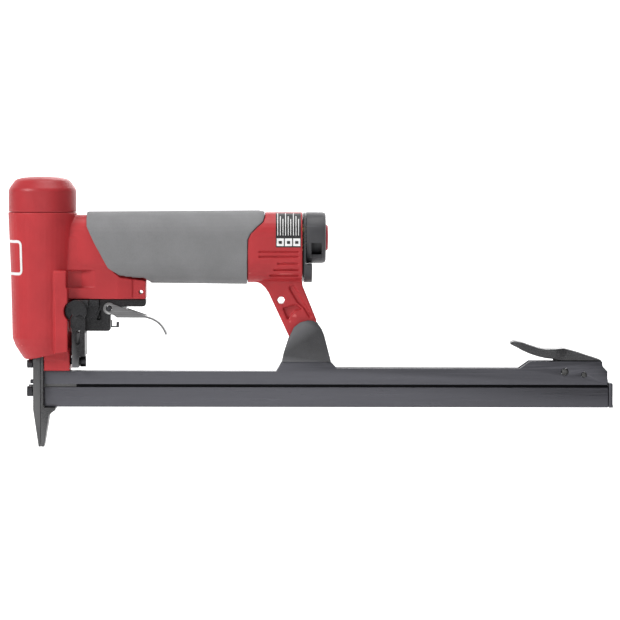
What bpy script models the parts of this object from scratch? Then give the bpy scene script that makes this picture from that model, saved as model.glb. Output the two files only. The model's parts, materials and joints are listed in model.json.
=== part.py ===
"""Pneumatic upholstery stapler with a long magazine, modelled as an assembly.

Frame: origin on the middle of the nose tip, +X towards the rear end of the
magazine, +Z up. Sizes below are in millimetres; meshes are made in metres.
"""

import math

import bmesh
import bpy
from mathutils import Matrix, Vector

MM = 0.001
GAP = 0.3                    # running gap between neighbouring pieces
ROUND = 28                   # facets of the round inner pieces

# head, turned about a vertical axis
HEAD_X = 0.6                 # axis of head, piston and driver
CAP_R = 21.1
SEAM_Z = 146.7               # joint between cap and barrel
CAP_TOP_Z = 168.6
BORE_R = 13.5
SLEEVE_R = 15.0
SLEEVE_Z = (66.0, 136.0)
STROKE = 45.0
PISTON_Z = (123.5, 134.0)
DRIVER_TIP_Z = 46.0
DRIVER_X = (0.15, 1.05)
DRIVER_HALF = 4.6            # half width of driver blade

# handle, an upright stadium section swept along X
HANDLE_Z = 124.8             # height of handle axis
CAST_HALF = (14.0, 20.0)     # half width and half height of bare casting
GRIP_HALF = (16.6, 22.1)     # the same over the rubber grip, in front
GRIP_REAR_HALF = (16.9, 23.1)  # and at its rear end, which flares a little
CAVITY_HALF = (10.5, 16.5)   # air reservoir inside
NECK = ((8.0, 2.7), (20.0, 2.5), (30.0, 1.2), (40.0, 0.0))  # x, how much narrower
ROOT_X = 65.3                # rear end of the root under the handle
ROOT_Z = 92.6                # its underside
ROOT_HALF = 11.9             # its half width
HOUSING_X = (124.0, 162.8)   # rear housing of the casting
END_CAP_X = (163.9, 164.9, 168.9)  # plate, then the boss below the deflector
HOUSING_RIBS = ((135.6, 121.6, 15.3), (135.6, 118.6, 15.2), (147.2, 114.4, 14.8),
                (144.8, 110.5, 13.3), (142.2, 107.0, 10.4))  # start, height, depth
PORT_Z = 130.9               # axis of air inlet and exhaust deflector
DEFLECTOR_R = 16.0
DEFLECTOR_X = (165.2, 177.4)
INLET_R = 8.2
PLUG_X = (169.9, 178.9)

# trigger group
TRIGGER_PIVOT = (42.4, 86.6)
LOCK_PIVOT = (22.2, 85.2)
VALVE_X = 50.4
EAR_Y = (12.3, 14.6)         # side plates of the trigger housing and hanger

# magazine
CHANNEL_HALF = 6.5
CHANNEL_INNER = 4.9
CHANNEL_X = (1.8, 354.0)
CHANNEL_Z = (39.3, 47.4, 49.3, 53.9)    # lower edge, front, rear and tail tops
RAIL_Z = (25.0, 37.4)
RAIL_X = (1.8, 354.6)
CORE_HALF = 3.6
CORE_Z = (26.8, 42.5)
ROD_Z = 39.0
LATCH_PIVOT = (327.3, 47.4)
STOP_PIN = (339.4, 45.6)

RED = ("red_enamel", (0.43, 0.045, 0.05), 0.42, 0.0)
GREY_RUBBER = ("grey_rubber", (0.21, 0.21, 0.215), 0.75, 0.0)
BLACK_RUBBER = ("black_rubber", (0.02, 0.02, 0.02), 0.8, 0.0)
DARK_PLASTIC = ("dark_plastic", (0.055, 0.055, 0.06), 0.45, 0.0)
RED_PLASTIC = ("red_plastic", (0.45, 0.03, 0.04), 0.4, 0.0)
CAST_DARK = ("dark_casting", (0.06, 0.06, 0.065), 0.5, 0.6)
BLACK_STEEL = ("blued_steel", (0.075, 0.075, 0.085), 0.35, 0.9)
BRIGHT_STEEL = ("bright_steel", (0.55, 0.55, 0.56), 0.3, 1.0)
ALUMINIUM = ("aluminium", (0.62, 0.63, 0.64), 0.35, 1.0)
SPRING_STEEL = ("spring_steel", (0.3, 0.3, 0.31), 0.35, 1.0)
BRASS = ("brass", (0.6, 0.45, 0.2), 0.3, 1.0)


def clear_scene():
    for thing in list(bpy.data.objects):
        bpy.data.objects.remove(thing, do_unlink=True)


def material(spec):
    name, colour, roughness, metallic = spec
    found = bpy.data.materials.get(name)
    if found:
        return found
    made = bpy.data.materials.new(name)
    made.use_nodes = True
    shader = made.node_tree.nodes["Principled BSDF"]
    shader.inputs["Base Color"].default_value = (*colour, 1.0)
    shader.inputs["Roughness"].default_value = roughness
    shader.inputs["Metallic"].default_value = metallic
    made.diffuse_color = (*colour, 1.0)
    return made


def to_object(bm, name, spec, at=(0.0, 0.0, 0.0)):
    """Turn a millimetre bmesh into an object whose origin is at `at`."""
    bmesh.ops.recalc_face_normals(bm, faces=bm.faces)
    shift = Matrix.Translation(-Vector(at))
    bm.transform(Matrix.Scale(MM, 4) @ shift)
    mesh = bpy.data.meshes.new(name)
    bm.to_mesh(mesh)
    bm.free()
    mesh.shade_smooth()
    mesh.set_sharp_from_angle(angle=math.radians(32))
    thing = bpy.data.objects.new(name, mesh)
    thing.location = Vector(at) * MM
    if spec:
        mesh.materials.append(material(spec))
    bpy.context.collection.objects.link(thing)
    return thing


def as_cutter(thing):
    thing.hide_render = True
    thing.display_type = "WIRE"
    return thing


def combine(thing, other, operation):
    step = thing.modifiers.new(other.name, "BOOLEAN")
    step.operation = operation
    step.solver = "EXACT"
    step.object = as_cutter(other)
    return thing


def cut(thing, *others):
    for other in others:
        combine(thing, other, "DIFFERENCE")
    return thing


def join(thing, *others):
    for other in others:
        combine(thing, other, "UNION")
    return thing


def rounded(corners, steps=4):
    """Outline from (u, v, radius) corners, each rounded by an arc."""
    points = []
    count = len(corners)
    for i, (u, v, radius) in enumerate(corners):
        here = Vector((u, v))
        if radius <= 0:
            points.append(here)
            continue
        before = Vector(corners[i - 1][:2]) - here
        after = Vector(corners[(i + 1) % count][:2]) - here
        half = before.angle(after) / 2
        reach = min(radius / math.tan(half), 0.49 * before.length, 0.49 * after.length)
        start = here + before.normalized() * reach
        end = here + after.normalized() * reach
        for k in range(steps + 1):
            t = k / steps
            # quadratic curve through the corner, close to the true arc
            points.append((1 - t) ** 2 * start + 2 * t * (1 - t) * here + t * t * end)
    return [(p.x, p.y) for p in points]


def arc(centre, radius, start, end, steps=12):
    """Points of a round stretch, angles in degrees."""
    points = []
    for k in range(steps + 1):
        a = math.radians(start + (end - start) * k / steps)
        points.append((centre[0] + radius * math.cos(a), centre[1] + radius * math.sin(a)))
    return points


def bend(start, control, end, steps=6):
    """Points of a soft bend between two ends, pulled towards a control point."""
    points = []
    for k in range(steps + 1):
        t = k / steps
        a, b, c = (1 - t) ** 2, 2 * t * (1 - t), t * t
        points.append(tuple(a * p + b * q + c * r
                            for p, q, r in zip(start, control, end)))
    return points


def plate(name, spec, outline, depth, plane="XZ", at=(0.0, 0.0, 0.0)):
    """Extrude a flat outline through `depth`, a (low, high) pair."""
    def place(u, v, w):
        return {"XZ": (u, w, v), "YZ": (w, u, v), "XY": (u, v, w)}[plane]

    bm = bmesh.new()
    base = bm.faces.new([bm.verts.new(place(u, v, depth[0])) for u, v in outline])
    made = bmesh.ops.extrude_face_region(bm, geom=[base])
    step = Vector(place(0, 0, depth[1] - depth[0]))
    moved = [g for g in made["geom"] if isinstance(g, bmesh.types.BMVert)]
    bmesh.ops.translate(bm, verts=moved, vec=step)
    return to_object(bm, name, spec, at)


def block(name, spec, x, y, z, at=(0.0, 0.0, 0.0)):
    outline = [(x[0], z[0]), (x[1], z[0]), (x[1], z[1]), (x[0], z[1])]
    return plate(name, spec, outline, y, at=at)


def loft(name, spec, rings, at=(0.0, 0.0, 0.0), closed=False):
    """Skin a list of rings, each a list of (x, y, z) with the same count."""
    bm = bmesh.new()
    rows = [[bm.verts.new(p) for p in ring] for ring in rings]
    pairs = list(zip(rows, rows[1:] + rows[:1])) if closed else list(zip(rows, rows[1:]))
    for low, high in pairs:
        for i in range(len(low)):
            j = (i + 1) % len(low)
            bm.faces.new((low[i], low[j], high[j], high[i]))
    if not closed:
        bm.faces.new(rows[0])
        bm.faces.new(rows[-1])
    return to_object(bm, name, spec, at)


def turned(name, spec, profile, axis="Z", origin=(0.0, 0.0, 0.0), steps=48, at=None):
    """Turn a closed (radius, height) profile about an axis through origin.

    A profile whose first and last radius are 0 gives a solid body, any other
    a ring.
    """
    bm = bmesh.new()
    solid = profile[0][0] == 0 and profile[-1][0] == 0

    def place(radius, height, angle):
        u, v = radius * math.cos(angle), radius * math.sin(angle)
        local = {"Z": (u, v, height), "X": (height, u, v), "Y": (u, height, v)}[axis]
        return Vector(origin) + Vector(local)

    rows = []
    for radius, height in profile:
        if radius == 0:
            rows.append([bm.verts.new(place(0, height, 0))])
        else:
            rows.append([
                bm.verts.new(place(radius, height, math.tau * k / steps))
                for k in range(steps)
            ])
    pairs = list(zip(rows, rows[1:]))
    if not solid:
        pairs.append((rows[-1], rows[0]))
    for low, high in pairs:
        for i in range(steps):
            j = (i + 1) % steps
            corners = [low[i % len(low)], low[j % len(low)],
                       high[j % len(high)], high[i % len(high)]]
            bm.faces.new(list(dict.fromkeys(corners)))
    return to_object(bm, name, spec, origin if at is None else at)


def rod(name, spec, radius, ends, axis="Z", origin=(0.0, 0.0, 0.0), steps=24, at=None):
    low, high = ends
    profile = [(0, low), (radius, low), (radius, high), (0, high)]
    return turned(name, spec, profile, axis, origin, steps, at)


def tube(name, spec, radii, ends, axis="Z", origin=(0.0, 0.0, 0.0), steps=24, at=None):
    inner, outer = radii
    low, high = ends
    profile = [(inner, low), (outer, low), (outer, high), (inner, high)]
    return turned(name, spec, profile, axis, origin, steps, at)


def stadium(half_width, half_height, x, centre_z=HANDLE_Z, steps=8):
    """Ring of an upright rounded rectangle across the handle at x."""
    radius = 0.92 * half_width
    corners = [
        (half_width, half_height, radius), (-half_width, half_height, radius),
        (-half_width, -half_height, radius), (half_width, -half_height, radius),
    ]
    ring = []
    for i, (y, z, r) in enumerate(corners):
        cy, cz = y - math.copysign(r, y), z - math.copysign(r, z)
        for k in range(steps + 1):
            a = math.radians(90 * i + 90 * k / steps)
            ring.append((x, cy + r * math.cos(a), centre_z + cz + r * math.sin(a)))
    return ring


def oval_prism(name, spec, halves, x):
    return loft(name, spec, [stadium(*halves, x[0]), stadium(*halves, x[1])])


def necked_prism(name, spec, halves, end, start=NECK[0][0]):
    """Handle section that narrows in width where it meets the barrel."""
    rings = [stadium(halves[0] - less, halves[1], x) for x, less in NECK]
    rings[0] = stadium(halves[0] - NECK[0][1], halves[1], start)
    return loft(name, spec, rings + [stadium(*halves, end)])


def barrel_rings(steps=40):
    """Head barrel: slight taper, then the front edge swept back at the foot."""
    levels = [(146.4, -20.8, 22.0), (110.0, -19.3, 20.6), (68.0, -18.3, 19.8),
              (63.0, -16.4, 19.5), (58.0, -13.2, 19.1), (54.8, -10.9, 18.2)]
    rings = []
    for z, front, rear in levels:
        radius, centre = (rear - front) / 2, (rear + front) / 2
        rings.append([
            (centre + radius * math.cos(math.tau * k / steps),
             radius * math.sin(math.tau * k / steps), z)
            for k in range(steps)
        ])
    return rings


def frame_casting():
    """Barrel, hollow handle, rear housing, leg and foot cast in one."""
    body = loft("frame_casting", RED, barrel_rings())
    root = [(4, ROOT_Z), (ROOT_X, ROOT_Z), (ROOT_X, 104), (50, 106), (42, 112),
            (36, 130), (4, 132)]
    housing = oval_prism("housing_solid", RED, (16.4, 22.0), HOUSING_X)
    cut(housing, plate("housing_front_edge", None, grip_rear_edge(GAP, 110.0), (-30, 30)))
    join(
        body,
        necked_prism("handle_solid", RED, CAST_HALF, 140.5),
        plate("root_solid", RED, root, (-ROOT_HALF, ROOT_HALF)),
        housing,
        plate("leg_solid", RED, leg_outline(), (-6.2, 6.2)),
        block("foot_solid", RED, (0.8, 18.1), (-10.0, 10.0), (47.7, 62.0)),
        block("side_pad", RED, (9.1, 17.2), (-18.7, 18.7), (58.3, 110.1)),
    )
    head_cuts = [
        rod("piston_bore", None, SLEEVE_R + GAP, (65.6, 150.0), origin=(HEAD_X, 0, 0),
            steps=ROUND),
        rod("air_jacket", None, 16.8, (84.0, 150.0), origin=(HEAD_X, 0, 0), steps=ROUND),
        rod("cap_bore", None, 18.6, (137.9, 150.0), origin=(HEAD_X, 0, 0), steps=ROUND),
        block("driver_slot", None, (-3.0, 4.0), (-5.6, 5.6), (40.0, 70.0)),
        block("nose_seat", None, (-5.1, 1.8), (-12.0, 12.0), (40.0, 58.3)),
        necked_prism("reservoir", None, CAVITY_HALF, 170.0, 12.0),
        rod("valve_pocket", None, 6.4, (90.0, 112.0), origin=(VALVE_X, 0, 0)),
    ]
    cut(body, *head_cuts)
    for side in (-1, 1):
        y = sorted((side * 11.9, side * 25.0))
        cut(
            body,
            rod(f"lock_pocket_{side}", None, 7.4, y, "Y",
                (LOCK_PIVOT[0], 0, LOCK_PIVOT[1]), 32),
            plate(f"core_pocket_{side}", None,
                  [(16.3, side * 20.0), (16.3, side * 8.8), (25.4, side * 8.8),
                   (34.4, side * 12.0), (34.4, side * 20.0)], (99.4, 110.5), "XY"),
        )
        # the rim of the barrel's foot rises towards the rear
        rim = [(-16.0, 50.0), (-11.0, 54.4), (-3.0, 55.6), (8.0, 58.4), (17.0, 60.2),
               (26.0, 61.0), (26.0, 50.0)]
        cut(body, plate(f"foot_rim_{side}", None, rim, sorted((side * 10.4, side * 25.0))))
        # the root narrows in plan towards its rear end, with a last step
        flank = [(46, side * 12.2), (57, side * 10.4), (57, side * 9.7), (70, side * 9.7),
                 (70, side * 20.0), (46, side * 20.0)]
        cut(body, plate(f"root_taper_{side}", None, flank, (88.0, 108.0), "XY"))
        for i, (start, z, inner) in enumerate(HOUSING_RIBS):
            y = sorted((side * inner, side * 25.0))
            cut(body, block(f"housing_rib_{side}_{i}", None, (start, 160.6), y,
                            (z, z + 1.2)))
        window = [(150.7, 87.1), (158.5, 89.4), (163.1, 86.3), (158.5, 85.3),
                  (155.7, 82.6), (153.9, 78.9)]
        groove = [(154.6, 101.0), (155.0, 98.5), (159.9, 90.4), (163.8, 87.0),
                  (167.4, 80.6), (169.0, 81.8), (157.6, 101.0)]
        cut(body,
            plate(f"leg_window_{side}", None, window, sorted((side * 4.0, side * 12.0))),
            plate(f"leg_groove_{side}", None, groove, sorted((side * 5.0, side * 12.0))))
    cut(
        body,
        rod("hex_hole", None, 2.5, (-20, 20), "Y", (149.7, 0, 91.8), 6),
        rod("pin_hole", None, 1.3, (-20, 20), "Y", (62.4, 0, 96.9), 16),
        rod("hanger_bore", None, 2.4, (10.0, 19.0), "X", (0, 0, 53.2), 16),
    )
    return body


def leg_outline():
    """Rear leg, leaning back from the housing down to the magazine."""
    return [(133.0, 103.6), (136.6, 102.4), (139.6, 99.8), (141.9, 96.4), (154.7, 69.0),
            (158.0, 58.0), (171.5, 58.0), (171.5, 72.0), (171.7, 79.8),
            (163.0, 101.0), (162.8, 104.0)]


def head_parts():
    hx = (HEAD_X, 0, 0)
    radius = CAP_R
    cap = [(0, 163.6), (15.6, 163.6), (16.6, 162.6), (16.6, 140.2), (18.2, 140.2),
           (18.2, SEAM_Z), (radius, SEAM_Z + 0.1), (radius, 160.2), (radius - 0.9, 161.5),
           (17.8, 165.9), (17.0, 166.6), (12.0, 168.0), (6.0, 168.5), (0, CAP_TOP_Z)]
    turned("cylinder_cap", RED, cap, origin=hx, steps=40)
    turned("cap_seal", BLACK_RUBBER, ring_profile(17.6, 138.9, 0.7), origin=hx, steps=ROUND)
    valve = [(0, 147.0), (9.0, 147.0), (9.0, 137.0), (11.0, 136.4), (15.4, 136.4),
             (15.4, 146.5), (16.2, 147.5), (16.2, 154.5), (11.5, 154.5), (11.5, 150.2),
             (0, 150.2)]
    turned("head_valve", ALUMINIUM, valve, origin=hx, steps=ROUND)
    tube("head_valve_spring", SPRING_STEEL, (8.0, 10.2), (150.5, 163.3), origin=hx)
    tube("cylinder_sleeve", ALUMINIUM, (BORE_R, SLEEVE_R), SLEEVE_Z, origin=hx, steps=ROUND)
    low, high = PISTON_Z
    piston = [(0, low), (8.0, low), (8.0, low + 3), (13.1, low + 3), (13.1, low + 5),
              (11.7, low + 5), (11.7, low + 8), (13.1, low + 8), (13.1, high), (0, high)]
    body = turned("piston", ALUMINIUM, piston, origin=hx, steps=ROUND)
    cut(body, block("driver_socket", None, (DRIVER_X[0] - GAP, DRIVER_X[1] + GAP),
                    (-DRIVER_HALF - GAP, DRIVER_HALF + GAP), (low - 2, low + 6)))
    tube("piston_ring", BLACK_RUBBER, (12.0, 13.3), (low + 5.3, low + 7.7), origin=hx,
         steps=ROUND)
    block("driver_blade", BRIGHT_STEEL, DRIVER_X, (-DRIVER_HALF, DRIVER_HALF),
          (DRIVER_TIP_Z, low + 5.6))
    bumper = turned("bumper", BLACK_RUBBER,
                    [(0, 66.2), (12.6, 66.2), (13.1, 69.0), (13.1, 74.0), (9.0, 78.0),
                     (0, 78.0)], origin=hx, steps=ROUND)
    cut(bumper, block("bumper_slot", None, (-2.6, 3.8), (-5.4, 5.4), (60.0, 80.0)))


def ring_profile(radius, height, thickness, steps=6):
    """Round section of an O-ring, as a turned profile."""
    return [(radius + thickness * math.cos(math.tau * k / steps),
             height + thickness * math.sin(math.tau * k / steps)) for k in range(steps)]


def grip_rear_edge(shift, closing_x):
    """Area on one side of the grip's rear edge, an S in the side view."""
    edge = [(139.2, 143.9), (138.2, 140.8), (135.0, 138.2), (130.6, 133.7),
            (128.7, 129.9), (128.4, 102.4)]
    inner = [(x + shift, z) for x, z in edge]
    return [(closing_x, 150.0), (edge[0][0] + shift, 150.0), *inner,
            (edge[-1][0] + shift, 90.0), (closing_x, 90.0)]


def grip_sleeve():
    outer = loft("grip_sleeve", GREY_RUBBER,
                 [stadium(*GRIP_HALF, 28.0), stadium(*GRIP_REAR_HALF, 136.0),
                  stadium(GRIP_REAR_HALF[0] - 0.5, GRIP_REAR_HALF[1] - 0.7, 139.2)])
    bore = oval_prism("grip_bore", None, (CAST_HALF[0] + GAP, CAST_HALF[1] + GAP),
                      (20.0, 150.0))
    # front lower edge, swept back over the root of the handle
    front = [(26.0, 150.0), (28.4, 146.6), (28.8, 137.7), (33.4, 127.7), (42.0, 111.9),
             (49.2, 107.2), (57.8, 105.5), (68.0, 103.8), (68.6, 90.0), (20.0, 90.0)]
    wide = block("grip_over_root", None, (20.0, 45.0),
                 (-ROOT_HALF - GAP, ROOT_HALF + GAP), (88.0, 125.0))
    narrow = plate("grip_over_taper", None,
                   [(44, 12.4), (57, 10.8), (ROOT_X + GAP, 10.1), (ROOT_X + GAP, -10.1),
                    (57, -10.8), (44, -12.4)], (88.0, 112.0), "XY")
    return cut(outer, bore, wide, narrow, plate("grip_front_edge", None, front, (-30, 30)),
               plate("grip_rear_edge", None, grip_rear_edge(0.0, 145.0), (-30, 30)))


def rear_parts():
    port = (0, 0, PORT_Z)
    cap = oval_prism("end_cap", DARK_PLASTIC, (16.2, 21.9), END_CAP_X[::2])
    cut(cap, block("deflector_space", None, END_CAP_X[1:], (-20, 20),
                   (PORT_Z - DEFLECTOR_R - GAP, 150.0)))
    cut(cap, rod("inlet_bore", None, INLET_R + 0.6, (160, 172), "X", port, 32),
        rod("exhaust_port", None, 1.6, (160, 172), "X", (0, 0, 118.4), 24))
    gasket = oval_prism("end_cap_gasket", BLACK_RUBBER, (15.6, 21.4), (163.1, 163.6))
    cut(gasket, oval_prism("gasket_window", None, CAVITY_HALF, (160, 166)))
    low, high = DEFLECTOR_X
    ring = turned("exhaust_deflector", DARK_PLASTIC,
                  [(INLET_R + 0.9, low), (10.4, low), (10.4, 175.0), (14.6, 175.0),
                   (14.6, low), (DEFLECTOR_R, low), (DEFLECTOR_R, high - 1.2),
                   (DEFLECTOR_R - 1.2, high), (INLET_R + 0.9, high)],
                  "X", port, 36)
    cut(ring, block("outlet", None, (171.6, 190.0), (-20.0, -10.6), (115.0, 127.4)))
    tube("air_inlet", BRASS, (5.6, INLET_R), (152.0, 169.6), "X", port, 32)
    turned("air_inlet_plug", RED_PLASTIC,
           [(0, 160.0), (5.2, 160.0), (5.2, PLUG_X[0]), (INLET_R, PLUG_X[0]),
            (INLET_R, PLUG_X[1] - 0.8), (INLET_R - 0.8, PLUG_X[1]), (3.4, PLUG_X[1]),
            (3.4, 174.0), (0, 174.0)], "X", port, 32, at=(PLUG_X[0], 0, PORT_Z))


def trigger_housing():
    """Dark casting screwed under the handle root; it carries the trigger."""
    inner = 6.4
    px, pz = TRIGGER_PIVOT
    flange = rounded([(20.9, 92.3, 0), (20.9, 87.7, 0), (ROOT_X, 87.7, 2.5),
                      (ROOT_X, 92.3, 0)])
    web = rounded([(27.5, 88.5, 0), (27.5, 72.4, 0.6), (43.1, 72.4, 1.6),
                   (43.1, 82.0, 0), (45.8, 84.5, 0), (45.8, 88.5, 0)])
    body = plate("trigger_housing", CAST_DARK, flange, (-inner, inner))
    join(body, plate("housing_web", None, web, (-inner, inner)),
         block("wide_flange", None, (20.9, 36.4), (-12.0, 12.0), (87.9, 92.2)))
    for side in (-1, 1):
        ear = sorted((side * EAR_Y[0], side * EAR_Y[1]))
        bridge = sorted((side * 10.0, side * EAR_Y[1]))
        lock = (LOCK_PIVOT[0], 0, LOCK_PIVOT[1])
        quadrant = [(27.5, 88.5), (36.2, 88.5)] + arc((27.5, 88.5), 8.7, 0, -90, 8)[1:]
        join(body,
             block(f"ear_bridge_{side}", None, (21.2, 30.0), bridge, (88.0, 92.1)),
             rod(f"ear_{side}", None, 6.9, ear, "Y", lock, 28),
             plate(f"lug_{side}", None, quadrant, sorted((side * 6.0, side * 9.5))))
        neck = [(18.4, 60.0), (28.4, 60.0), (28.4, 80.5), (27.3, 83.0), (23.4, 84.1),
                (19.5, 83.0), (18.4, 80.5)]
        notch = [(34.6, 79.4), (37.4, 79.4), (37.4, 86.4)]
        cut(body, plate(f"web_notch_{side}", None, notch, sorted((side * 3.5, side * 20))))
        cut(body, plate(f"neck_gap_{side}", None, neck,
                        sorted((side * 12.0, side * 20.0))))
    cut(
        body,
        rod("pivot_bore", None, 1.9, (-20, 20), "Y", (px, 0, pz), 24),
        rod("valve_bore", None, 3.5, (80.0, 95.0), origin=(VALVE_X, 0, 0)),
        rod("lock_bore", None, 2.2, (-20.0, 20.0), "Y", (LOCK_PIVOT[0], 0, LOCK_PIVOT[1]),
            24),
    )
    return body


def trigger_parts():
    px, pz = TRIGGER_PIVOT
    pivot = (px, 0, pz)
    strip = [(47.3, 80.9), (60.0, 81.0)]
    strip += bend((63.0, 81.0), (74.0, 79.9), (77.5, 70.0), 9)
    strip += bend((78.5, 70.3), (75.0, 81.0), (63.4, 82.0), 9)
    strip += [(60.0, 81.9), (47.3, 81.9)]
    body = plate("trigger", BRIGHT_STEEL, strip, (-6.9, 6.9), at=pivot)
    cheek = [(44.9, 89.2), (66.0, 81.9), (64.5, 80.8), (47.3, 80.9), (45.0, 82.6),
             (41.0, 83.3), (39.0, 85.4), (39.0, 87.8), (41.0, 90.0), (43.2, 90.2)]
    for side in (-1, 1):
        y = sorted((side * 6.8, side * 7.8))
        join(body, plate(f"cheek_{side}", None, cheek, y),
             rod(f"cheek_boss_{side}", None, 3.7, y, "Y", pivot, 24))
    cut(body, rod("trigger_bore", None, 1.9, (-20, 20), "Y", pivot, 24))
    rod("trigger_pin", BLACK_STEEL, 1.6, (-8.6, 8.6), "Y", pivot, 24, at=pivot)

    valve = (VALVE_X, 0, 0)
    turned("trigger_valve_body", ALUMINIUM,
           [(1.7, 85.2), (3.2, 85.2), (3.2, 93.0), (6.1, 93.0), (6.1, 106.0),
            (1.6, 106.0), (1.6, 104.6), (3.6, 104.6), (3.6, 95.0), (1.7, 95.0)],
           origin=valve, steps=18)
    turned("trigger_valve_stem", BRIGHT_STEEL,
           [(0, 82.4), (1.4, 82.4), (1.4, 95.3), (2.8, 95.3), (2.8, 97.0), (1.2, 97.0),
            (1.2, 105.4), (0, 105.4)], origin=valve, steps=18)
    tube("trigger_valve_spring", SPRING_STEEL, (1.6, 2.8), (97.3, 104.3), origin=valve, steps=18)

    lock = (LOCK_PIVOT[0], 0, LOCK_PIVOT[1])
    moon = plate("trigger_lock", CAST_DARK, arc(LOCK_PIVOT, 6.9, -35, 151, 20),
                 (-16.8, -14.9), at=lock)
    join(moon, rod("lock_hub", None, 2.9, (-16.8, -14.9), "Y", lock, 24),
         rod("lock_shaft", None, 1.3, (-15.2, -12.3), "Y", lock, 24))
    clip = [(43.4, 80.0), (44.2, 78.9), (44.2, 75.6), (46.9, 75.6), (46.9, 78.2),
            (48.6, 78.2), (48.6, 74.7), (43.4, 74.7)]
    plate("trigger_clip", BLACK_STEEL, clip, (-6.2, -4.4))


def hanger_parts():
    """Post that ties the trigger housing to the foot of the casting."""
    low, high = EAR_Y
    outline = [(19.6, 50.0), (23.8, 50.0), (23.8, 57.0), (27.7, 57.0), (27.7, 74.6),
               (28.0, 75.2), (28.0, 80.3), (27.0, 82.6), (23.4, 83.5), (19.8, 82.6),
               (18.8, 80.3), (18.8, 75.2), (19.6, 74.6)]
    bridge = [(20.6, 50.0), (23.8, 50.0), (23.8, 57.0), (27.7, 57.0), (27.7, 71.4),
              (21.9, 71.4), (21.9, 58.0), (20.6, 57.0)]
    post = plate("magazine_hanger", CAST_DARK, bridge, (-low - 1, low + 1))
    for side in (-1, 1):
        y = sorted((side * low, side * high))
        join(post, plate(f"hanger_cheek_{side}", None, outline, y))
        slot = rounded([(22.2, 73.0, 0), (22.2, 64.2, 1), (24.7, 64.2, 1), (24.7, 73.0, 0)], 2)
        cut(post, plate(f"hanger_slot_{side}", None, slot,
                        sorted((side * (low - 0.5), side * (high + 1)))))
    cut(post, rod("hanger_hole", None, 2.3, (18.0, 25.0), "X", (0, 0, 53.2), 16))
    turned("hanger_screw", BLACK_STEEL,
           [(0, 11.0), (2.0, 11.0), (2.0, 24.1), (3.5, 24.1), (3.5, 27.7), (1.6, 27.7),
            (1.6, 26.0), (0, 26.0)], "X", (0, 0, 53.2), 18)


def nose_flanks():
    """Cutters that narrow both nose halves towards the tip."""
    cutters = []
    for side in (-1, 1):
        flank = [(side * 10.8, 24.5), (side * 6.4, -1.0), (side * 14.0, -1.0),
                 (side * 14.0, 24.5)]
        cutters.append(plate(f"nose_flank_{side}", None, flank, (-10.0, 12.0), "YZ"))
    return cutters


def nose_parts():
    half = 10.5
    front = [(-1.7, 0.0), (-0.4, 0.0), (-0.4, 58.0), (-4.8, 58.0), (-4.8, 23.6)]
    guide = [(-0.1, 0.0), (1.75, 0.0), (4.9, 19.8), (6.9, 21.7), (8.8, 23.0),
             (9.1, 24.6), (1.5, 24.6), (1.5, 58.0), (-0.1, 58.0)]
    face = plate("front_plate", BLACK_STEEL, front, (-half, half))
    body = plate("guide_body", BLACK_STEEL, guide, (-half, half))
    cut(face, *nose_flanks())
    cut(body, *nose_flanks())
    cut(body,
        block("driver_track", None, (-1.0, 1.25), (-4.9, 4.9), (-2.0, 60.0)),
        block("staple_window", None, (1.0, 2.0), (-4.9, 4.9), (26.0, 46.2)))
    screws = [("upper", 51.9, 7.0, 2.5, 1.4, 9.0), ("lower", 34.8, 7.0, 3.3, 1.4, 1.3)]
    for label, z, y, head, shank, tip in screws:
        for side, where in ((-1, "left"), (1, "right")):
            axis = (0, side * y, z)
            hole = rod(f"{label}_{where}_hole", None, shank + GAP, (-8, 12), "X", axis, 16)
            cut(face, hole)
            cut(body, hole)
            if label == "upper":
                cut(bpy.data.objects["frame_casting"], hole)
            turned(f"{label}_nose_screw_{where}", BLACK_STEEL,
                   [(0, -7.4), (1.5, -7.4), (1.5, -8.7), (head, -8.7), (head, -5.1),
                    (shank, -5.1), (shank, tip), (0, tip)], "X", axis, 18)
    pin = (0, -7.0, 41.0)
    hole = rod("dowel_hole", None, 1.6, (-8, 2), "X", pin, 16)
    cut(face, hole)
    cut(body, hole)
    rod("nose_dowel", BLACK_STEEL, 1.3, (-6.7, 1.3), "X", pin, 16)


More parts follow.
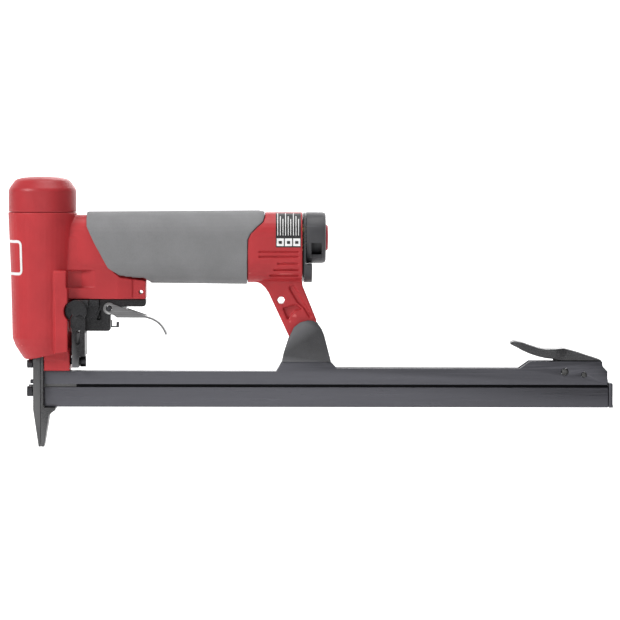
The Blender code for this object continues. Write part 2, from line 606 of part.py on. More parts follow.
def magazine_parts():
    half, inner = CHANNEL_HALF, CHANNEL_INNER
    bottom, front, rear, tail = CHANNEL_Z
    start, end = CHANNEL_X
    outline = [(start, bottom), (end, bottom), (end, 47.7), (350.9, 51.0), (350.6, tail),
               (305.3, tail), (298.8, rear), (184.4, rear), (180.6, 53.3), (176.6, 53.3), (176.6, 57.0),
               (153.0, 57.0), (150.4, 53.4), (146.8, front),
               (start, front)]
    channel = plate("magazine_channel", BLACK_STEEL, outline, (-half, half))
    cut(channel,
        block("staple_run", None, (-5, 400), (-inner, inner), (30, 45.6)),
        block("open_top", None, (149.0, 400), (-inner, inner), (40, 80)),
        rod("latch_bore", None, 2.3, (-20, 20), "Y", (LATCH_PIVOT[0], 0, LATCH_PIVOT[1]), 20),
        rod("stop_bore", None, 1.8, (-20, 20), "Y", (STOP_PIN[0], 0, STOP_PIN[1]), 20))
    low, high = RAIL_Z
    rail = block("magazine_rail", BLACK_STEEL, RAIL_X, (-half, half), (low, high))
    cut(rail, block("rail_inside", None, (-5, 400), (-5.0, 5.0), (low + 1.5, 60)))
    low, high = CORE_Z
    core = block("staple_core", BRIGHT_STEEL, (2.2, RAIL_X[1]), (-CORE_HALF, CORE_HALF),
                 (low, high))
    cut(core, block("core_inside", None, (-5, 400), (-2.4, 2.4), (low + 1.2, 60)))
    cap = rounded([(355.0, 24.9, 0), (357.9, 24.9, 0.5), (357.4, 27.0, 0),
                   (357.4, 40.4, 1.5), (355.0, 40.4, 0)])
    plate("rail_end_plate", BLACK_STEEL, cap, (-half, half))
    rod("guide_rod", BRIGHT_STEEL, 1.0, (4.0, 354.6), "X", (0, 0, ROD_Z), 16)
    tube("pusher_spring", SPRING_STEEL, (1.35, 2.15), (22.4, 354.2), "X", (0, 0, ROD_Z), 12)
    pusher = block("pusher", BRIGHT_STEEL, (2.4, 22.0), (-4.6, 4.6), (32.0, 43.9))
    cut(pusher,
        block("pusher_left", None, (0, 30), (-3.9, -2.1), (20, 42.8)),
        block("pusher_right", None, (0, 30), (2.1, 3.9), (20, 42.8)),
        block("pusher_under", None, (0, 30), (-2.5, 2.5), (20, 36.0)),
        rod("pusher_bore", None, 1.35, (0, 30), "X", (0, 0, ROD_Z), 16))


def bracket():
    """Stamped saddle that joins the leg and the magazine channel."""
    outline = [(150.4, 53.6), (180.9, 53.6), (179.0, 61.0), (176.7, 69.9), (175.2, 73.4),
               (172.5, 77.3), (170.1, 79.1), (166.5, 79.4), (161.7, 78.2), (157.8, 75.2),
               (155.1, 69.8), (151.3, 57.9)]
    inside = [(140, 50), (178.5, 50), (176.7, 61.0), (174.6, 69.3), (172.6, 73.2),
              (172.2, 90), (140, 90)]
    body = plate("rear_bracket", BLACK_STEEL, outline, (-8.8, 8.8))
    return cut(body, plate("bracket_inside", None, inside, (-6.8, 6.8)))


def latch_parts():
    px, pz = LATCH_PIVOT
    pivot = (px, 0, pz)
    top = [(293.0, 64.6), (293.9, 66.1), (295.9, 66.7), (300.6, 65.8), (306.0, 63.9),
           (310.8, 62.3), (315.6, 61.5), (326.6, 62.1), (334.7, 59.9), (344.2, 56.8),
           (350.0, 54.8), (351.2, 52.9), (350.3, 51.2)]
    paddle = top + [(347.0, 54.5), (334.0, 57.6), (326.0, 57.0), (319.0, 55.6),
                    (315.0, 56.0), (310.6, 57.0), (305.0, 58.8), (300.6, 60.7),
                    (296.4, 63.0)]
    hub = [(320.6, 58.6), (320.6, 46.2), (331.5, 44.4), (346.0, 44.4), (349.6, 51.5),
           (346.0, 56.0), (334.0, 59.0), (326.0, 60.0)]
    cheeks = [(316.0, 60.4), (316.2, 56.4), (319.0, 55.5), (323.0, 54.9), (326.5, 54.5),
              (346.5, 54.4), (344.0, 56.4), (334.0, 59.6), (326.0, 61.6)]
    lever = plate("latch_lever", BLACK_STEEL, paddle, (-8.4, 8.4), at=pivot)
    join(lever, plate("latch_web", None, hub, (-4.4, 4.4)),
         plate("latch_cheeks", None, cheeks, (-6.3, 6.3)))
    for side in (-1, 1):
        trim = [(321.0, side * 8.5), (324.0, side * 8.0), (328.0, side * 6.6),
                (332.0, side * 6.3), (360.0, side * 6.3), (360.0, side * 12.0),
                (321.0, side * 12.0)]
        cut(lever, plate(f"latch_trim_{side}", None, trim, (40, 80), "XY"))
        nose = [(290.0, side * 2.0), (292.4, side * 2.6), (293.3, side * 5.0),
                (295.0, side * 6.9), (297.6, side * 8.1), (300.5, side * 8.5),
                (300.5, side * 12.0), (290.0, side * 12.0)]
        cut(lever, plate(f"paddle_trim_{side}", None, nose, (40, 80), "XY"))
        y = sorted((side * 4.4, side * 12.0))
        cut(lever, block(f"latch_seat_{side}", None, (344.0, 353.0), y, (40.0, 54.4)))
    cut(lever,
        block("latch_hollow", None, (318.0, 352.0), (-3.2, 3.2), (40.0, 57.0)),
        rod("latch_lever_bore", None, 2.3, (-20, 20), "Y", pivot, 20),
        block("stop_slot", None, (336.6, 342.2), (-10, 10), (40.0, 49.0)))
    rod("latch_pin", BRIGHT_STEEL, 2.0, (-7.0, 7.0), "Y", pivot, 20, at=pivot)
    rod("latch_stop_pin", BRIGHT_STEEL, 1.5, (-7.0, 7.0), "Y",
        (STOP_PIN[0], 0, STOP_PIN[1]), 20)
    tube("latch_spring", SPRING_STEEL, (2.4, 3.2), (-2.6, 2.6), "Y", pivot, 20)


def main():
    clear_scene()
    frame_casting()
    head_parts()
    grip_sleeve()
    rear_parts()
    trigger_housing()
    trigger_parts()
    hanger_parts()
    nose_parts()
    magazine_parts()
    bracket()
    latch_parts()


main()
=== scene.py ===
"""Looks of the pneumatic upholstery stapler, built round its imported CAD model."""
import json
import math

import bmesh
import bpy
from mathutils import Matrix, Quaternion, Vector


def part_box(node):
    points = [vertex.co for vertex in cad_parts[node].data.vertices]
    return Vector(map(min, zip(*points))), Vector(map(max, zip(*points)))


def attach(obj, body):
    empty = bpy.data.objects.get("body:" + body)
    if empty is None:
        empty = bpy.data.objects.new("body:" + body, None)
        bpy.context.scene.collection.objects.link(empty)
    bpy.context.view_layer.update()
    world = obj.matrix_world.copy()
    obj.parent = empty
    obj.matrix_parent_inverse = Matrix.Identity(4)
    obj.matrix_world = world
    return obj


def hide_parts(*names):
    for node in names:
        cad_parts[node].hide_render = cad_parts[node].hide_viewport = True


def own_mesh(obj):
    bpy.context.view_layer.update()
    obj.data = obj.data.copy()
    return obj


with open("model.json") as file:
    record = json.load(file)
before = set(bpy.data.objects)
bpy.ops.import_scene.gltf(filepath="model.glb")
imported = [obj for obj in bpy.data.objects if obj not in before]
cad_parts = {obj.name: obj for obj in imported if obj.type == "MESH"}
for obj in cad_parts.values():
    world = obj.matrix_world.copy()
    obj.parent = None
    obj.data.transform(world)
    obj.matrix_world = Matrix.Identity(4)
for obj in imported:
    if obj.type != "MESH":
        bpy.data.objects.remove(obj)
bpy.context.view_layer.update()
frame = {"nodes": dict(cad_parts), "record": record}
MM = 0.001

HOME = {node: body for body, nodes in frame["record"]["behaviour"]["bodies"].items()
        for node in nodes}
SLOT = {s["node"]: s["material_slot"] for s in frame["record"]["subparts"]}


# ---------------------------------------------------------------- materials

class Nodes:
    """Short hand for building one node material."""

    def __init__(self, name, roughness, metallic=0.0):
        self.material = bpy.data.materials.new(name)
        self.material.use_nodes = True
        self.tree = self.material.node_tree
        self.shader = self.tree.nodes["Principled BSDF"]
        self.shader.inputs["Roughness"].default_value = roughness
        self.shader.inputs["Metallic"].default_value = metallic
        self.shader.inputs["Specular IOR Level"].default_value = 0.35
        self.place = self.tree.nodes.new("ShaderNodeTexCoord").outputs["Object"]

    def link(self, source, target):
        self.tree.links.new(source, target)

    def scaled(self, scale):
        node = self.tree.nodes.new("ShaderNodeMapping")
        node.inputs["Scale"].default_value = scale
        self.link(self.place, node.inputs["Vector"])
        return node.outputs["Vector"]

    def noise(self, scale, detail=3.0, stretch=(1, 1, 1)):
        node = self.tree.nodes.new("ShaderNodeTexNoise")
        node.inputs["Scale"].default_value = scale
        node.inputs["Detail"].default_value = detail
        self.link(self.scaled(stretch), node.inputs["Vector"])
        return node.outputs["Fac"]

    def ramp(self, source, stops):
        node = self.tree.nodes.new("ShaderNodeValToRGB")
        ramp = node.color_ramp
        while len(ramp.elements) < len(stops):
            ramp.elements.new(0.5)
        for element, (at, colour) in zip(ramp.elements, stops):
            element.position = at
            element.color = (*colour, 1.0)
        self.link(source, node.inputs["Fac"])
        return node.outputs["Color"]

    def grey(self, source, stops):
        return self.ramp(source, [(at, (v, v, v)) for at, v in stops])

    def mix(self, factor, first, second, mode="MIX"):
        node = self.tree.nodes.new("ShaderNodeMix")
        node.data_type = "RGBA"
        node.blend_type = mode
        for socket, value in ((node.inputs["Factor"], factor), (node.inputs["A"], first),
                              (node.inputs["B"], second)):
            if hasattr(value, "is_linked"):
                self.link(value, socket)
            else:
                socket.default_value = value if isinstance(value, float) else (*value, 1)
        return node.outputs["Result"]

    def edges(self, low=0.55, high=0.66):
        # convex edges from pointiness: the mask for painted highlights along the edges
        geometry = self.tree.nodes.new("ShaderNodeNewGeometry")
        return self.grey(geometry.outputs["Pointiness"], [(low, 0.0), (high, 1.0)])

    def colour(self, source):
        self.link(source, self.shader.inputs["Base Color"])

    def rough(self, source):
        self.link(source, self.shader.inputs["Roughness"])

    def bump(self, height, strength, depth):
        node = self.tree.nodes.new("ShaderNodeBump")
        node.inputs["Strength"].default_value = strength
        node.inputs["Distance"].default_value = depth
        self.link(height, node.inputs["Height"])
        self.link(node.outputs["Normal"], self.shader.inputs["Normal"])


def enamel(name, colour, edge_highlight, roughness=0.45):
    """Paint over a die casting: soft mottle, orange peel and a painted highlight on the edges."""
    m = Nodes(name, roughness)
    dark = tuple(0.86 * c for c in colour)
    body = m.ramp(m.noise(45, 4), [(0.35, dark), (0.65, colour)])
    # painted highlight: the edge colour is laid along the edges as if they caught the light
    m.colour(m.mix(m.edges(), body, edge_highlight))
    m.rough(m.grey(m.noise(600, 2), [(0.3, roughness - 0.05), (0.7, roughness + 0.08)]))
    m.bump(m.noise(1400, 4), 0.16, 0.0002)
    return m.material


def rubber(name, colour):
    """Matt moulded rubber with a fine grain."""
    grain = 2600
    m = Nodes(name, 0.72)
    pale = tuple(1.12 * c for c in colour)
    mottle = m.ramp(m.noise(60, 5), [(0.35, colour), (0.7, pale)])
    speck = m.grey(m.noise(grain, 2), [(0.35, 0.9), (0.65, 1.0)])
    m.colour(m.mix(1.0, mottle, speck, "MULTIPLY"))
    m.rough(m.grey(m.noise(300, 2), [(0.3, 0.64), (0.7, 0.8)]))
    m.bump(m.noise(grain, 3), 0.35, 0.0002)
    return m.material


def brushed(name, dark, pale, roughness=0.36, metallic=0.85, along=(30, 1900, 1900),
            edge_highlight=None):
    """Drawn steel with fine scratches along one direction and a painted highlight on the edges.
    """
    m = Nodes(name, roughness, metallic)
    streaks = m.noise(1.0, 6, along)
    body = m.ramp(streaks, [(0.3, dark), (0.7, pale)])
    patch = m.grey(m.noise(30, 3, (0.4, 1, 1)), [(0.3, 0.9), (0.7, 1.0)])
    body = m.mix(1.0, body, patch, "MULTIPLY")
    # painted highlight: edges take the edge colour, the pale streak colour when none is given
    m.colour(m.mix(m.edges(0.53, 0.62), body, edge_highlight or pale))
    m.rough(m.grey(streaks, [(0.3, roughness - 0.08), (0.7, roughness + 0.1)]))
    m.bump(streaks, 0.05, 0.00005)
    return m.material


def speckled(name, dark, pale, roughness=0.5, metallic=0.4, scale=1900, edge_highlight=1.8):
    """Blackened rough casting or phosphated steel with a mottled face."""
    m = Nodes(name, roughness, metallic)
    spots = m.noise(scale, 3)
    broad = m.noise(160, 4)
    body = m.ramp(spots, [(0.38, dark), (0.64, pale)])
    body = m.mix(1.0, body, m.grey(broad, [(0.3, 0.7), (0.7, 1.0)]), "MULTIPLY")
    # painted highlight: edges take the pale colour brightened by the edge factor
    m.colour(m.mix(m.edges(0.53, 0.62), body, tuple(edge_highlight * c for c in pale)))
    m.rough(m.grey(broad, [(0.3, roughness - 0.1), (0.7, roughness + 0.12)]))
    m.bump(spots, 0.22, 0.00012)
    return m.material


def moulded(name, colour, roughness=0.42):
    """Moulded plastic or print with a fine texture and a painted highlight on the edges."""
    m = Nodes(name, roughness)
    pale = tuple(1.25 * c for c in colour)
    # painted highlight: edges take 1.8 times the body colour
    m.colour(m.mix(m.edges(0.53, 0.63), m.ramp(m.noise(90, 4), [(0.3, colour), (0.75, pale)]),
                   tuple(1.8 * c for c in colour)))
    m.rough(m.grey(m.noise(900, 2), [(0.3, roughness - 0.06), (0.7, roughness + 0.1)]))
    m.bump(m.noise(2200, 2), 0.15, 0.0001)
    return m.material


# the paler second colour of each enamel and every edge value below set painted highlights along
# the edges
RED = enamel("red_enamel", (0.47, 0.03, 0.036), (0.62, 0.12, 0.12))
CAP_RED = enamel("cap_enamel", (0.41, 0.028, 0.034), (0.60, 0.12, 0.12), 0.4)
GRIP = rubber("grip_rubber", (0.205, 0.206, 0.21))
BLACK_RUBBER = rubber("black_rubber", (0.02, 0.02, 0.02))
STEEL = brushed("black_oxide_steel", (0.07, 0.07, 0.08), (0.115, 0.115, 0.13), 0.34)
DEEP_STEEL = brushed("shaded_steel", (0.008, 0.008, 0.009), (0.014, 0.014, 0.016), 0.5)
BRACKET = speckled("phosphated_steel", (0.042, 0.042, 0.045), (0.072, 0.072, 0.076), 0.62, 0.0,
                   2600)
NOSE_STEEL = speckled("nose_steel", (0.06, 0.06, 0.063), (0.13, 0.13, 0.132), 0.42, 0.5, edge_highlight=1.0)
# painted highlight: the dark casting gets very bright edges, 2.6 times its pale colour
CASTING = speckled("blackened_casting", (0.018, 0.018, 0.02), (0.055, 0.055, 0.057), 0.42, 0.5,
                   edge_highlight=2.6)
LEVER_STEEL = speckled("lever_steel", (0.045, 0.045, 0.048), (0.11, 0.11, 0.113), 0.4, 0.5)
SCREW_STEEL = brushed("screw_steel", (0.03, 0.03, 0.035), (0.07, 0.07, 0.075), 0.35)
BRIGHT = brushed("bright_steel", (0.42, 0.42, 0.43), (0.62, 0.62, 0.63), 0.3, 1.0)
# painted highlight: pale grey edges on the trigger
TRIGGER_STEEL = brushed("trigger_steel", (0.13, 0.13, 0.132), (0.26, 0.26, 0.262), 0.33, 0.95,
                        edge_highlight=(0.5, 0.5, 0.5))
PIN_STEEL = brushed("pin_steel", (0.05, 0.05, 0.05), (0.12, 0.12, 0.12), 0.3, 0.9)
SPRING = brushed("spring_wire", (0.3, 0.3, 0.31), (0.5, 0.5, 0.5), 0.3, 1.0)
ALLOY = brushed("turned_alloy", (0.5, 0.5, 0.51), (0.68, 0.69, 0.7), 0.32, 1.0,
                (900, 900, 900))
BRASS = brushed("turned_brass", (0.5, 0.36, 0.14), (0.68, 0.5, 0.22), 0.28, 1.0,
                (900, 900, 900))
PLASTIC = moulded("dark_nylon", (0.045, 0.045, 0.049))
PLUG_RED = moulded("red_plug", (0.42, 0.02, 0.035), 0.35)
FILM = moulded("label_black", (0.012, 0.012, 0.013), 0.38)
PRINT = moulded("label_white", (0.5, 0.5, 0.5), 0.5)
BADGE = enamel("badge_white", (0.75, 0.73, 0.73), (0.8, 0.8, 0.8), 0.4)

LOOKS = {"red_enamel": RED, "grey_rubber": GRIP, "black_rubber": BLACK_RUBBER,
         "dark_plastic": PLASTIC, "red_plastic": PLUG_RED, "dark_casting": CASTING,
         "black_steel": STEEL, "bright_steel": BRIGHT, "aluminium": ALLOY,
         "spring_steel": SPRING, "brass": BRASS}
# painted shade: the staple core and the pusher get near-black and dark steel so the groove
# between channel and rail stays dark as in shade
OWN_LOOK = {"cylinder_cap": CAP_RED, "front_plate": NOSE_STEEL, "guide_body": NOSE_STEEL,
            "latch_lever": LEVER_STEEL, "rear_bracket": BRACKET, "staple_core": DEEP_STEEL,
            "trigger": TRIGGER_STEEL, "pusher": PIN_STEEL, "latch_pin": PIN_STEEL,
            "latch_stop_pin": PIN_STEEL, "trigger_clip": SCREW_STEEL,
            "hanger_screw": SCREW_STEEL, "trigger_pin": SCREW_STEEL}


def look_of(node):
    if "nose_screw" in node or node == "nose_dowel":
        return SCREW_STEEL
    return OWN_LOOK.get(node, LOOKS[SLOT[node]])


# ------------------------------------------------------------------- pieces

def to_piece(bm, name):
    """New object in the scene from a bmesh, which is freed."""
    mesh = bpy.data.meshes.new(name)
    bm.to_mesh(mesh)
    bm.free()
    piece = bpy.data.objects.new(name, mesh)
    bpy.context.collection.objects.link(piece)
    return piece


def settle(piece, node=None, body=None, look=None, angle=40):
    """Give a finished piece its material, shading, body and CAD node."""
    mesh = piece.data
    mesh.materials.clear()
    mesh.materials.append(look or look_of(node))
    mesh.shade_smooth()
    mesh.set_sharp_from_angle(angle=math.radians(angle))
    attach(piece, body or HOME[node])
    if node:
        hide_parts(node)
    return piece


def apply_modifiers(piece):
    graph = bpy.context.evaluated_depsgraph_get()
    mesh = bpy.data.meshes.new_from_object(piece.evaluated_get(graph))
    piece.modifiers.clear()
    piece.data = mesh
    return piece


def clean_copy(node, name):
    """Copy of a CAD node's mesh with its flat faces whole again."""
    bm = bmesh.new()
    bm.from_mesh(frame["nodes"][node].data)
    bmesh.ops.remove_doubles(bm, verts=bm.verts, dist=0.000004)
    bmesh.ops.dissolve_limit(bm, angle_limit=math.radians(0.2), verts=bm.verts,
                             edges=bm.edges)
    return to_piece(bm, name)


def edged(node, width, segments=3):
    """CAD node with its sharp edges broken by a small round."""
    piece = clean_copy(node, node + "_fine")
    step = piece.modifiers.new("Bevel", "BEVEL")
    step.width = width * MM
    step.segments = segments
    step.limit_method = "ANGLE"
    step.angle_limit = math.radians(38)
    step.use_clamp_overlap = True
    return settle(apply_modifiers(piece), node)


def cast(node, voxel, passes, keep_faces):
    """CAD node remeshed and relaxed, so edges and inner corners get fillets."""
    piece = clean_copy(node, node + "_cast")
    remesh = piece.modifiers.new("Remesh", "REMESH")
    remesh.mode = "VOXEL"
    remesh.voxel_size = voxel * MM
    relax = piece.modifiers.new("Smooth", "SMOOTH")
    relax.factor = 0.5
    relax.iterations = passes
    thin = piece.modifiers.new("Decimate", "DECIMATE")
    thin.ratio = keep_faces
    return settle(apply_modifiers(piece), node, angle=70)


def turned(node, profile, axis, origin):
    """Smooth turned piece from a closed (radius, height) profile, in mm."""
    steps = 128
    bm = bmesh.new()

    def place(radius, height, angle):
        u, v = radius * math.cos(angle), radius * math.sin(angle)
        local = {"Z": (u, v, height), "X": (height, u, v)}[axis]
        return (Vector(origin) + Vector(local)) * MM

    rows = []
    for radius, height in profile:
        count = 1 if radius == 0 else steps
        rows.append([bm.verts.new(place(radius, height, math.tau * k / steps))
                     for k in range(count)])
    pairs = list(zip(rows, rows[1:]))
    if profile[0][0] > 0:
        pairs.append((rows[-1], rows[0]))
    for low, high in pairs:
        for i in range(steps):
            j = (i + 1) % steps
            ring = [low[i % len(low)], low[j % len(low)], high[j % len(high)],
                    high[i % len(high)]]
            bm.faces.new(list(dict.fromkeys(ring)))
    bmesh.ops.recalc_face_normals(bm, faces=bm.faces)
    return to_piece(bm, node + "_fine")


def soft_corners(profile, radius, steps=4):
    """Round every corner of a turned profile with a short curve."""
    points = []
    for i, here in enumerate(profile):
        here = Vector(here)
        if here.x == 0 or i in (0, len(profile) - 1):
            points.append(tuple(here))
            continue
        before, after = Vector(profile[i - 1]) - here, Vector(profile[i + 1]) - here
        start = here + before.normalized() * min(radius, 0.45 * before.length)
        end = here + after.normalized() * min(radius, 0.45 * after.length)
        for k in range(steps + 1):
            t = k / steps
            p = (1 - t) ** 2 * start + 2 * t * (1 - t) * here + t * t * end
            points.append(tuple(p))
    return points


def cylinder_cap():
    """Red head cap: crowned top, wide chamfer and a plain skirt."""
    low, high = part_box("cylinder_cap")
    centre, radius = (low.x + high.x) / 2 / MM, (high.x - low.x) / 2 / MM
    foot, top = low.z / MM, high.z / MM
    seam = top - 21.9
    inside = [(0, top - 5.7), (radius - 5.5, top - 5.7), (radius - 4.5, top - 6.7),
              (radius - 4.5, foot), (radius - 2.9, foot), (radius - 2.9, seam)]
    flank = [(radius - 0.3, seam), (radius, seam + 0.5), (radius, seam + 13.2),
             (radius - 0.5, top - 7.2), (radius - 3.0, top - 3.8), (radius - 3.9, top - 2.6),
             (radius - 5.2, top - 1.7)]
    # the crown is a shallow arc that flattens towards the middle
    crown = [(12.5, top - 0.75), (8.0, top - 0.3), (4.0, top - 0.07), (0, top)]
    piece = turned("cylinder_cap", inside + soft_corners(flank, 0.5) + crown, "Z",
                   (centre, 0, 0))
    return settle(piece, "cylinder_cap", angle=50)


def rear_turnings():
    """Exhaust deflector with its outlet, and the dust plug."""
    low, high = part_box("exhaust_deflector")
    port = (0, 0, (low.z + high.z) / 2 / MM)
    start, end, radius = low.x / MM, high.x / MM, (high.z - low.z) / 2 / MM
    plug_low, plug_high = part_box("air_inlet_plug")
    plug_r = (plug_high.z - plug_low.z) / 2 / MM
    bore = plug_r + 0.9
    shell = [(bore, start), (bore + 1.4, start), (bore + 1.4, end - 2.4),
             (radius - 1.4, end - 2.4), (radius - 1.4, start), (radius, start),
             (radius, end - 2.2), (radius - 0.5, end - 0.5), (radius - 1.6, end),
             (bore + 0.6, end), (bore, end - 0.6)]
    piece = turned("exhaust_deflector", shell, "X", port)
    bm = bmesh.new()
    bmesh.ops.create_cube(bm, size=1.0)
    for vert in bm.verts:
        vert.co.x = (start + 3.2 if vert.co.x < 0 else end - 2.6) * MM
        vert.co.y = (-radius - 4 if vert.co.y < 0 else 1.4 - bore - 2.8) * MM
        vert.co.z = (port[2] + (-radius if vert.co.z < 0 else -3.0)) * MM
    cutter = to_piece(bm, "outlet_cutter")
    step = piece.modifiers.new("Outlet", "BOOLEAN")
    step.operation = "DIFFERENCE"
    step.object = cutter
    round_off = piece.modifiers.new("Bevel", "BEVEL")
    round_off.width = 0.25 * MM
    round_off.segments = 2
    round_off.limit_method = "ANGLE"
    round_off.angle_limit = math.radians(50)
    apply_modifiers(piece)
    bpy.data.objects.remove(cutter, do_unlink=True)
    settle(piece, "exhaust_deflector", angle=45)

    tail, nose = plug_low.x / MM, plug_high.x / MM
    flange = nose - 9.0
    plug = [(0, tail), (4.6, tail), (5.2, tail + 1.0), (5.2, flange), (plug_r - 0.4, flange),
            (plug_r, flange + 0.5), (plug_r, nose - 1.2), (plug_r - 0.4, nose - 0.3),
            (plug_r - 1.3, nose), (4.6, nose), (3.6, nose - 0.6), (3.2, nose - 4.6),
            (0, nose - 4.9)]
    settle(turned("air_inlet_plug", plug, "X", port), "air_inlet_plug", angle=45)


def coil(node, axis, radius, wire, turns, start, end, centre):
    """Helical spring in place of a plain tube, wound along one axis, in mm."""
    around, sides = 14, 6
    count = int(turns * around)
    rings = []
    for k in range(count + 1):
        t = k / count
        angle = math.tau * turns * t
        reach = start + (end - start) * t
        spin = Vector((math.cos(angle), math.sin(angle), 0))
        ring = []
        for s in range(sides):
            a = math.tau * s / sides
            p = spin * (radius + wire * math.cos(a))
            h = reach + wire * math.sin(a)
            local = {"Z": (p.x, p.y, h), "X": (h, p.x, p.y), "Y": (p.x, h, p.y)}[axis]
            ring.append((Vector(centre) + Vector(local)) * MM)
        rings.append(ring)
    bm = bmesh.new()
    rows = [[bm.verts.new(p) for p in ring] for ring in rings]
    for low, high in zip(rows, rows[1:]):
        for i in range(sides):
            j = (i + 1) % sides
            bm.faces.new((low[i], low[j], high[j], high[i]))
    bm.faces.new(rows[0][::-1])
    bm.faces.new(rows[-1])
    bmesh.ops.recalc_face_normals(bm, faces=bm.faces)
    return settle(to_piece(bm, node + "_coil"), node, angle=60)


def springs():
    """Wound springs, each on the body of its CAD node."""
    pitch, travel = 2.6, 250.0
    low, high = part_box("head_valve_spring")
    middle = ((low.x + high.x) / 2 / MM, 0, 0)
    spring = coil("head_valve_spring", "Z", 9.1, 0.8, 5.0, low.z / MM + 0.9,
                  high.z / MM - 0.9, middle)
    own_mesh(spring)
    low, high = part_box("trigger_valve_spring")
    middle = ((low.x + high.x) / 2 / MM, 0, 0)
    spring = coil("trigger_valve_spring", "Z", 2.2, 0.35, 5.0, low.z / MM + 0.4,
                  high.z / MM - 0.4, middle)
    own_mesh(spring)
    low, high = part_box("pusher_spring")
    middle = (0, 0, (low.z + high.z) / 2 / MM)
    length = (high.x - low.x) / MM
    spring = coil("pusher_spring", "X", 1.75, 0.36, length / pitch, low.x / MM + 0.5,
                  high.x / MM - 0.5, middle)
    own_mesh(spring)
    low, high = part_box("latch_spring")
    middle = ((low.x + high.x) / 2 / MM, 0, (low.z + high.z) / 2 / MM)
    coil("latch_spring", "Y", 2.8, 0.35, 6.0, low.y / MM + 0.4, high.y / MM - 0.4, middle)


def film(name, rows, look):
    """Thin closed film on the fixed body over a grid of points in mm."""
    thick = 0.12
    bm = bmesh.new()
    grid = [[bm.verts.new(Vector(p) * MM) for p in row] for row in rows]
    for low, high in zip(grid, grid[1:]):
        for j in range(len(low) - 1):
            bm.faces.new((low[j], low[j + 1], high[j + 1], high[j]))
    piece = to_piece(bm, name)
    shell = piece.modifiers.new("Solidify", "SOLIDIFY")
    shell.thickness = thick * MM
    shell.offset = 1.0
    apply_modifiers(piece)
    settle(piece, None, "body", look)


def housing_skin(x, z, lift):
    """Point on the near side of the rear housing, which rounds over at the top."""
    half_w, half_h, centre = 16.4, 22.0, 124.8
    radius = 0.92 * half_w
    turn = centre + half_h - radius
    if z <= turn:
        return (x, -half_w - lift, z)
    sweep = min(1.0, (z - turn) / radius)
    flat = math.sqrt(1 - sweep * sweep)
    return (x, -(half_w - radius) - (radius + lift) * flat,
            turn + (radius + lift) * sweep)


def housing_film(name, x, z, look, lift, rows):
    """Film on the rear housing between two x and two z values, in mm."""
    heights = [z[0] + (z[1] - z[0]) * k / rows for k in range(rows + 1)]
    film(name, [[housing_skin(at, h, lift) for at in (x[1], x[0])] for h in heights], look)


def rating_label():
    """Plain information label: black film with blank bars instead of words."""
    panel_lift, print_lift, dot_lift = 0.02, 0.16, 0.3
    bars, bar_pitch, bar_width, box_width = 9, 1.62, 0.4, 4.4
    housing_film("label_panel", (146.2, 161.8), (125.2, 146.6), FILM, panel_lift, 24)
    for i in range(bars):
        x = 147.2 + bar_pitch * i
        housing_film(f"label_bar_{i}", (x, x + bar_width), (132.6, 146.0 - 1.7 * (i % 3)),
                     PRINT, print_lift, 14)
    for i, x in enumerate((146.8, 151.9, 157.0)):
        housing_film(f"label_box_{i}", (x, x + box_width), (126.0, 130.8), PRINT,
                     print_lift, 4)
        housing_film(f"label_dot_{i}", (x + 1.2, x + 3.2), (127.4, 129.2), FILM, dot_lift,
                     2)


def barrel_skin(angle, z, lift):
    """Point on the tapering head barrel; angle 0 faces forward."""
    share = (z - 110.0) / 37.1
    radius, centre = 19.95 + 1.45 * share + lift, 0.65 - 0.05 * share
    return (centre - radius * math.cos(angle), -radius * math.sin(angle), z)


def head_badge():
    """Blank badge outline round the front of the head, with no lettering."""
    half_w, low, high, corner, line = 19.6, 107.4, 129.2, 3.2, 1.7
    side_steps, wrap_radius = 24, 20.4
    middle, half_h = (low + high) / 2, (high - low) / 2
    loops = []
    for inset in (0.0, line):
        r = corner - inset
        loop = []
        corners = ((1, 1), (-1, 1), (-1, -1), (1, -1))
        for i, (su, sv) in enumerate(corners):
            cu, cv = su * (half_w - corner), sv * (half_h - corner)
            for k in range(7):
                a = math.radians(90 * i + 15 * k)
                loop.append((cu + r * math.cos(a), cv + r * math.sin(a)))
            # points along the straight side, so the film follows the barrel
            nu, nv = corners[(i + 1) % 4]
            eu, ev = nu * (half_w - corner), nv * (half_h - corner)
            a = math.radians(90 * (i + 1))
            end = (eu + r * math.cos(a), ev + r * math.sin(a))
            begin = loop[-1]
            loop += [(begin[0] + (end[0] - begin[0]) * k / side_steps,
                      begin[1] + (end[1] - begin[1]) * k / side_steps)
                     for k in range(1, side_steps)]
        loops.append(loop + loop[:1])
    rows = [[barrel_skin(u / wrap_radius, middle + v, 0.05) for u, v in loop]
            for loop in loops]
    film("badge_outline", rows, BADGE)


# pieces that keep their CAD shape, with the width of the round on their edges in mm
SIMPLE = {
    "end_cap": 0.8, "end_cap_gasket": 0.1, "trigger": 0.22, "trigger_lock": 0.3,
    "magazine_hanger": 0.35, "front_plate": 0.35, "guide_body": 0.3,
    "magazine_channel": 0.25, "magazine_rail": 0.35, "rail_end_plate": 0.5,
    "staple_core": 0.15, "pusher": 0.2, "rear_bracket": 0.35, "trigger_clip": 0.2,
    "hanger_screw": 0.25, "trigger_pin": 0.3, "nose_dowel": 0.3, "latch_pin": 0.4,
    "latch_stop_pin": 0.35, "upper_nose_screw_left": 0.3, "upper_nose_screw_right": 0.3,
    "lower_nose_screw_left": 0.35, "lower_nose_screw_right": 0.35, "air_inlet": 0.2,
}


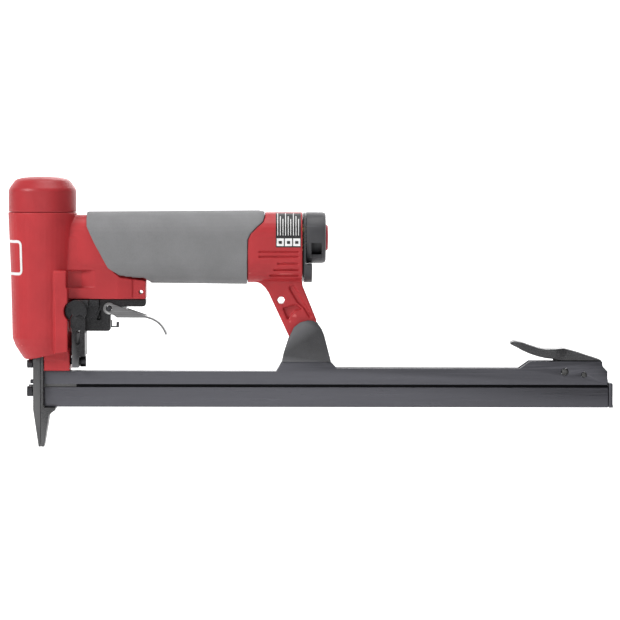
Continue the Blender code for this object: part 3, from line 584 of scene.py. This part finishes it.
def studio_white():
    """Pale paper that glows behind the object and less in front of it."""
    pale = bpy.data.materials.new("studio_white")
    pale.use_nodes = True
    tree = pale.node_tree
    shader = tree.nodes["Principled BSDF"]
    shader.inputs["Base Color"].default_value = (0.85, 0.85, 0.85, 1)
    shader.inputs["Roughness"].default_value = 0.9
    shader.inputs["Emission Color"].default_value = (1, 1, 1, 1)
    place = tree.nodes.new("ShaderNodeTexCoord").outputs["Object"]
    split = tree.nodes.new("ShaderNodeSeparateXYZ")
    tree.links.new(place, split.inputs["Vector"])
    glow = tree.nodes.new("ShaderNodeMapRange")
    for socket, value in (("From Min", 0.0), ("From Max", 1.0), ("To Min", 0.04),
                          ("To Max", 1.0)):
        glow.inputs[socket].default_value = value
    tree.links.new(split.outputs["Y"], glow.inputs["Value"])
    tree.links.new(glow.outputs["Result"], shader.inputs["Emission Strength"])
    return pale


def sweep():
    """Floor that curves up into a backdrop."""
    floor, back, bend = -0.25, 7.0, 1.0
    outline = [(-6.0, floor), (back - bend, floor)]
    outline += [(back - bend + bend * math.sin(math.radians(a)),
                 floor + bend - bend * math.cos(math.radians(a))) for a in range(9, 90, 9)]
    outline += [(back, floor + bend), (back, 9.0)]
    bm = bmesh.new()
    rows = [[bm.verts.new((x, y, z)) for y, z in outline] for x in (-9.0, 9.0)]
    for j in range(len(outline) - 1):
        bm.faces.new((rows[0][j], rows[1][j], rows[1][j + 1], rows[0][j + 1]))
    paper = to_piece(bm, "studio_sweep")
    paper.data.shade_smooth()
    paper.data.materials.append(studio_white())


def stage():
    """Pale floor and backdrop in one sweep, soft studio lights, camera."""
    bpy.context.scene.view_settings.view_transform = "Standard"
    sweep()
    world = bpy.data.worlds.new("studio")
    bpy.context.scene.world = world
    world.use_nodes = True
    sky = world.node_tree.nodes["Background"]
    sky.inputs["Color"].default_value = (1, 1, 1, 1)
    sky.inputs["Strength"].default_value = 0.2

    middle = Vector((0.168, 0, 0.085))
    lamps = [("key_soft", (-1.1, -0.9, 0.9), 0.55, 18.0),
             ("fill_soft", (0.1, -1.4, 0.15), 1.2, 4.0),
             ("top_soft", (0.2, -0.1, 1.2), 0.8, 9.0),
             ("back_soft", (0.4, 1.0, 0.6), 0.9, 5.0)]
    for name, where, size, power in lamps:
        lamp = bpy.data.lights.new(name, "AREA")
        lamp.size = size
        lamp.energy = power
        thing = bpy.data.objects.new(name, lamp)
        thing.location = where
        thing.rotation_euler = (middle - Vector(where)).to_track_quat("-Z", "Y").to_euler()
        bpy.context.collection.objects.link(thing)

    yaw, rise, roll, reach = math.radians(0.87), math.radians(2.93), math.radians(0.16), 2.0
    aim = Vector((0.1678, 0.0, 0.0855))
    sensor, view_width = 36.0, 0.3883
    away = Vector((-math.sin(yaw) * math.cos(rise), -math.cos(yaw) * math.cos(rise),
                   math.sin(rise)))
    lens = bpy.data.cameras.new("camera")
    lens.sensor_width = sensor
    lens.lens = sensor * reach / view_width
    lens.clip_start, lens.clip_end = 0.05, 60
    camera = bpy.data.objects.new("camera", lens)
    camera.location = aim + away * reach
    camera.rotation_euler = ((-away).to_track_quat("-Z", "Y")
                             @ Quaternion((0, 0, 1), roll)).to_euler()
    bpy.context.collection.objects.link(camera)
    bpy.context.scene.camera = camera


def build():
    """Stage, remeshed castings, turned pieces, springs, films and edged pieces."""
    stage()
    cast("frame_casting", 0.42, 5, 0.35)
    cast("grip_sleeve", 0.6, 4, 0.4)
    cast("trigger_housing", 0.32, 3, 0.5)
    cast("latch_lever", 0.35, 4, 0.5)
    cylinder_cap()
    rear_turnings()
    springs()
    rating_label()
    head_badge()
    for node, width in SIMPLE.items():
        edged(node, width)
    for node, item in frame["nodes"].items():
        if not item.hide_render:
            item.data.materials.clear()
            item.data.materials.append(look_of(node))


build()
